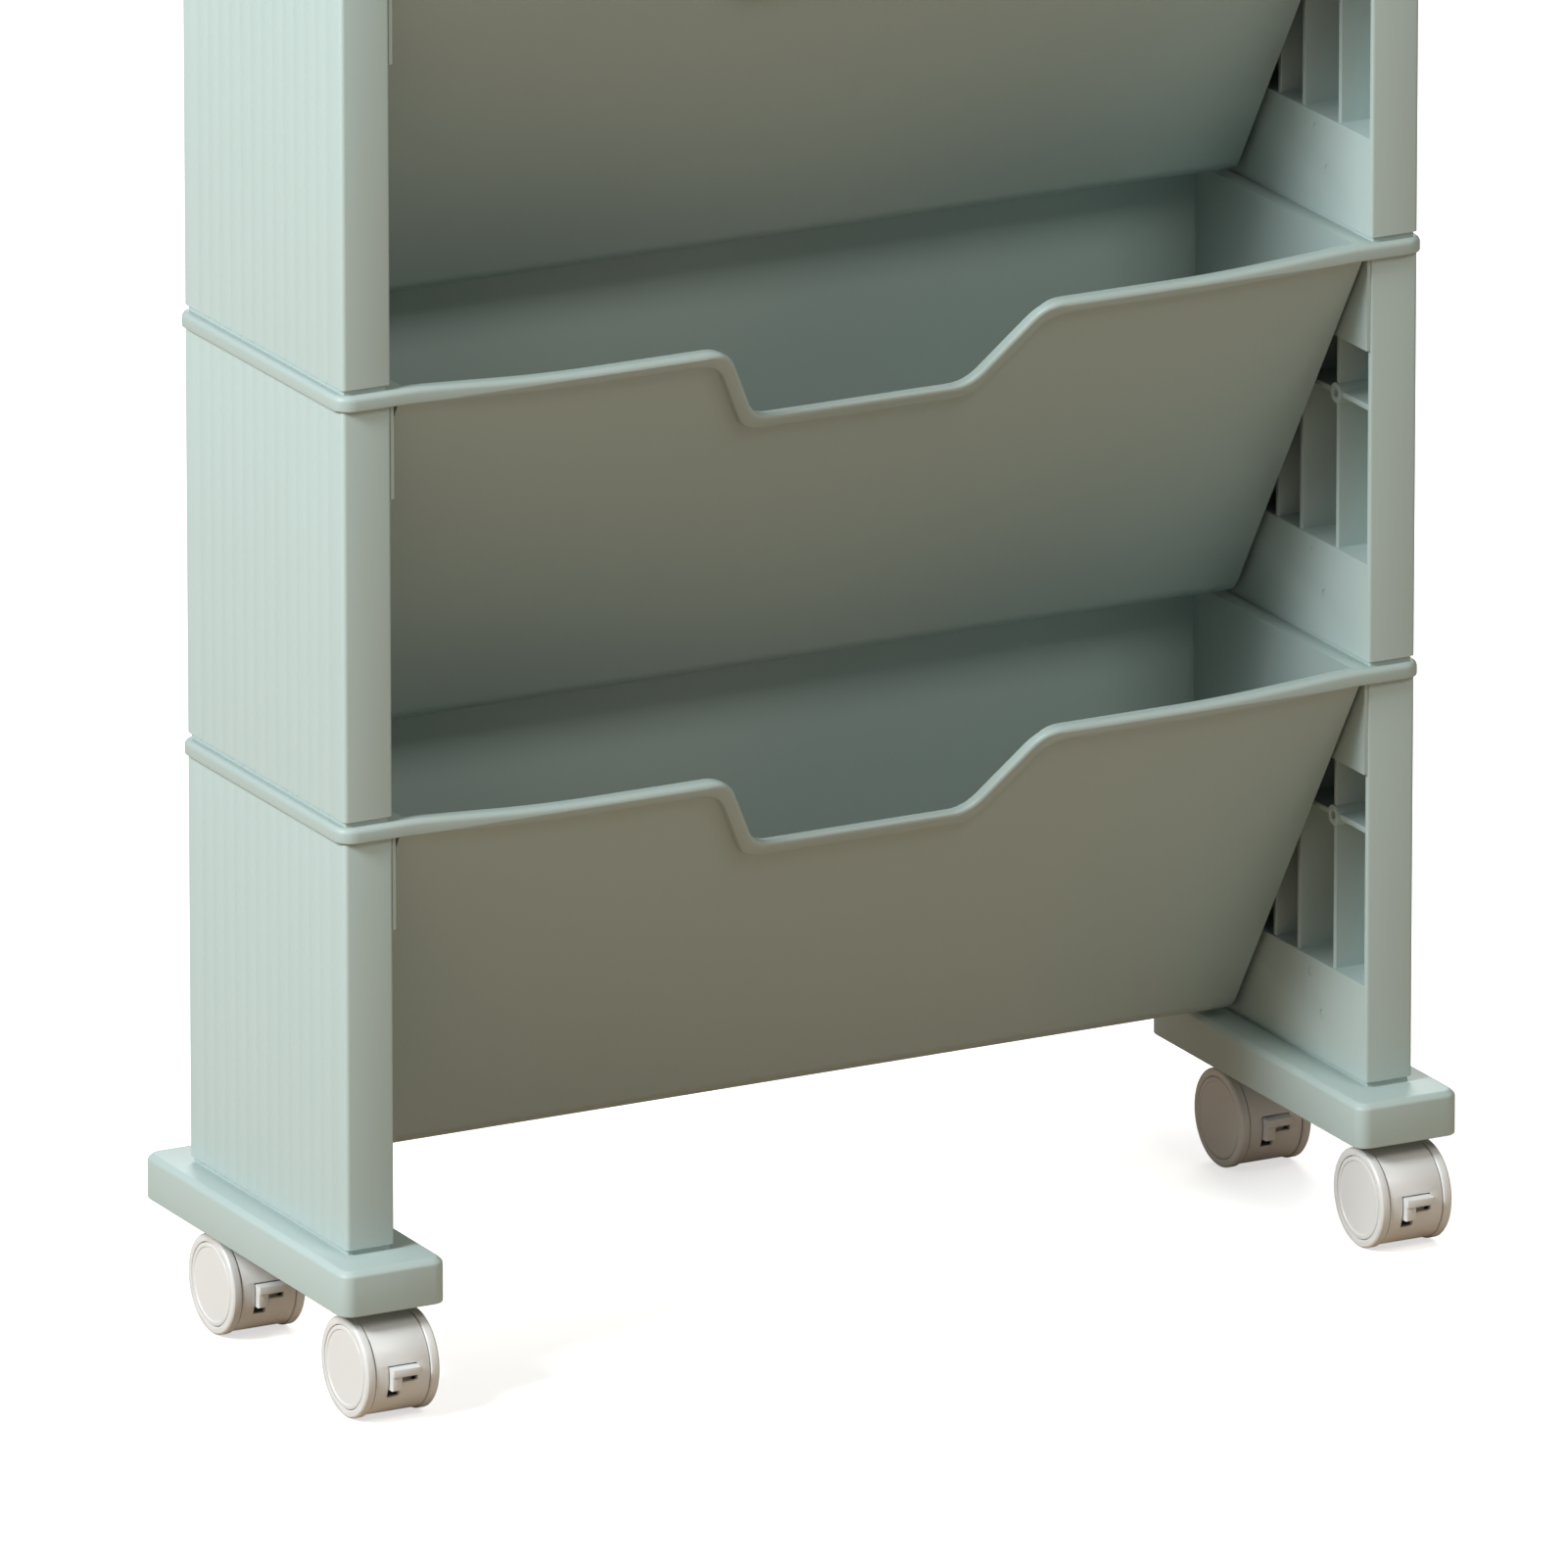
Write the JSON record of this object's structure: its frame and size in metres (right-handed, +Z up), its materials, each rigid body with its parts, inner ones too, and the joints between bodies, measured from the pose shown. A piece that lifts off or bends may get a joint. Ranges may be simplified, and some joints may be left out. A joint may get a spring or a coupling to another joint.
{
  "type": "book cart",
  "caption": "Mobile book cart in sage plastic: stacked slanted book trays with finger notches between hollow ribbed side panels, on two foot bars with braked swivel castors.",
  "frame": {"origin": "on the floor under the middle of the overall box", "axes": "+X to the right seen from the front, -Y to the front (the side with the sloping tray fronts), +Z up"},
  "size_m": [0.404, 0.15, 0.4775],
  "materials": {
    "sage_panel": "satin moulded polypropylene, fine vertical flutes on the outer faces",
    "sage_tray": "satin moulded polypropylene, smooth",
    "sage_foot": "satin moulded polypropylene with rounded edges",
    "cream_castor": "semi-gloss moulded nylon, warm off-white",
    "steel_pin": "bright zinc-plated steel"
  },
  "bodies": {
    "cart": {"foot_left": "sage_foot", "foot_right": "sage_foot", "tier1_panel_left": "sage_panel", "tier1_panel_right": "sage_panel", "tier2_panel_left": "sage_panel", "tier2_panel_right": "sage_panel", "tier3_panel_left": "sage_panel", "tier3_panel_right": "sage_panel", "tray_1": "sage_tray", "tray_2": "sage_tray", "tray_3": "sage_tray", "front_left_stem": "steel_pin", "front_left_grip_ring": "steel_pin", "front_right_stem": "steel_pin", "front_right_grip_ring": "steel_pin", "rear_left_stem": "steel_pin", "rear_left_grip_ring": "steel_pin", "rear_right_stem": "steel_pin", "rear_right_grip_ring": "steel_pin"},
    "front_left_castor": {"front_left_hood": "cream_castor", "front_left_axle": "steel_pin"},
    "front_left_outer_wheel": {"front_left_wheel_outer": "cream_castor", "front_left_cap_outer": "cream_castor"},
    "front_left_inner_wheel": {"front_left_wheel_inner": "cream_castor", "front_left_cap_inner": "cream_castor"},
    "front_left_brake_lever": {"front_left_brake": "cream_castor"},
    "front_right_castor": {"front_right_hood": "cream_castor", "front_right_axle": "steel_pin"},
    "front_right_outer_wheel": {"front_right_wheel_outer": "cream_castor", "front_right_cap_outer": "cream_castor"},
    "front_right_inner_wheel": {"front_right_wheel_inner": "cream_castor", "front_right_cap_inner": "cream_castor"},
    "front_right_brake_lever": {"front_right_brake": "cream_castor"},
    "rear_left_castor": {"rear_left_hood": "cream_castor", "rear_left_axle": "steel_pin"},
    "rear_left_outer_wheel": {"rear_left_wheel_outer": "cream_castor", "rear_left_cap_outer": "cream_castor"},
    "rear_left_inner_wheel": {"rear_left_wheel_inner": "cream_castor", "rear_left_cap_inner": "cream_castor"},
    "rear_left_brake_lever": {"rear_left_brake": "cream_castor"},
    "rear_right_castor": {"rear_right_hood": "cream_castor", "rear_right_axle": "steel_pin"},
    "rear_right_outer_wheel": {"rear_right_wheel_outer": "cream_castor", "rear_right_cap_outer": "cream_castor"},
    "rear_right_inner_wheel": {"rear_right_wheel_inner": "cream_castor", "rear_right_cap_inner": "cream_castor"},
    "rear_right_brake_lever": {"rear_right_brake": "cream_castor"}
  },
  "joints": [
    {"name": "front_left_swivel", "type": "hinge", "parent": "cart", "child": "front_left_castor", "pos_m": [-0.1835, -0.04305, 0.0365], "axis": [0, 0, 1], "continuous": true},
    {"name": "front_left_outer_spin", "type": "hinge", "parent": "front_left_castor", "child": "front_left_outer_wheel", "pos_m": [-0.1835, -0.05605, 0.0165], "axis": [1, 0, 0], "continuous": true},
    {"name": "front_left_inner_spin", "type": "hinge", "parent": "front_left_castor", "child": "front_left_inner_wheel", "pos_m": [-0.1835, -0.05605, 0.0165], "axis": [1, 0, 0], "continuous": true},
    {"name": "front_left_brake_press", "type": "hinge", "parent": "front_left_castor", "child": "front_left_brake_lever", "pos_m": [-0.1835, -0.06473, 0.02405], "axis": [1, 0, 0], "range_deg": [0, 12]},
    {"name": "front_right_swivel", "type": "hinge", "parent": "cart", "child": "front_right_castor", "pos_m": [0.1835, -0.04305, 0.0365], "axis": [0, 0, 1], "continuous": true},
    {"name": "front_right_outer_spin", "type": "hinge", "parent": "front_right_castor", "child": "front_right_outer_wheel", "pos_m": [0.1835, -0.05605, 0.0165], "axis": [1, 0, 0], "continuous": true},
    {"name": "front_right_inner_spin", "type": "hinge", "parent": "front_right_castor", "child": "front_right_inner_wheel", "pos_m": [0.1835, -0.05605, 0.0165], "axis": [1, 0, 0], "continuous": true},
    {"name": "front_right_brake_press", "type": "hinge", "parent": "front_right_castor", "child": "front_right_brake_lever", "pos_m": [0.1835, -0.06473, 0.02405], "axis": [1, 0, 0], "range_deg": [0, 12]},
    {"name": "rear_left_swivel", "type": "hinge", "parent": "cart", "child": "rear_left_castor", "pos_m": [-0.1835, 0.05095, 0.0365], "axis": [0, 0, 1], "continuous": true},
    {"name": "rear_left_outer_spin", "type": "hinge", "parent": "rear_left_castor", "child": "rear_left_outer_wheel", "pos_m": [-0.1835, 0.03795, 0.0165], "axis": [1, 0, 0], "continuous": true},
    {"name": "rear_left_inner_spin", "type": "hinge", "parent": "rear_left_castor", "child": "rear_left_inner_wheel", "pos_m": [-0.1835, 0.03795, 0.0165], "axis": [1, 0, 0], "continuous": true},
    {"name": "rear_left_brake_press", "type": "hinge", "parent": "rear_left_castor", "child": "rear_left_brake_lever", "pos_m": [-0.1835, 0.02927, 0.02405], "axis": [1, 0, 0], "range_deg": [0, 12]},
    {"name": "rear_right_swivel", "type": "hinge", "parent": "cart", "child": "rear_right_castor", "pos_m": [0.1835, 0.05095, 0.0365], "axis": [0, 0, 1], "continuous": true},
    {"name": "rear_right_outer_spin", "type": "hinge", "parent": "rear_right_castor", "child": "rear_right_outer_wheel", "pos_m": [0.1835, 0.03795, 0.0165], "axis": [1, 0, 0], "continuous": true},
    {"name": "rear_right_inner_spin", "type": "hinge", "parent": "rear_right_castor", "child": "rear_right_inner_wheel", "pos_m": [0.1835, 0.03795, 0.0165], "axis": [1, 0, 0], "continuous": true},
    {"name": "rear_right_brake_press", "type": "hinge", "parent": "rear_right_castor", "child": "rear_right_brake_lever", "pos_m": [0.1835, 0.02927, 0.02405], "axis": [1, 0, 0], "range_deg": [0, 12]}
  ]
}
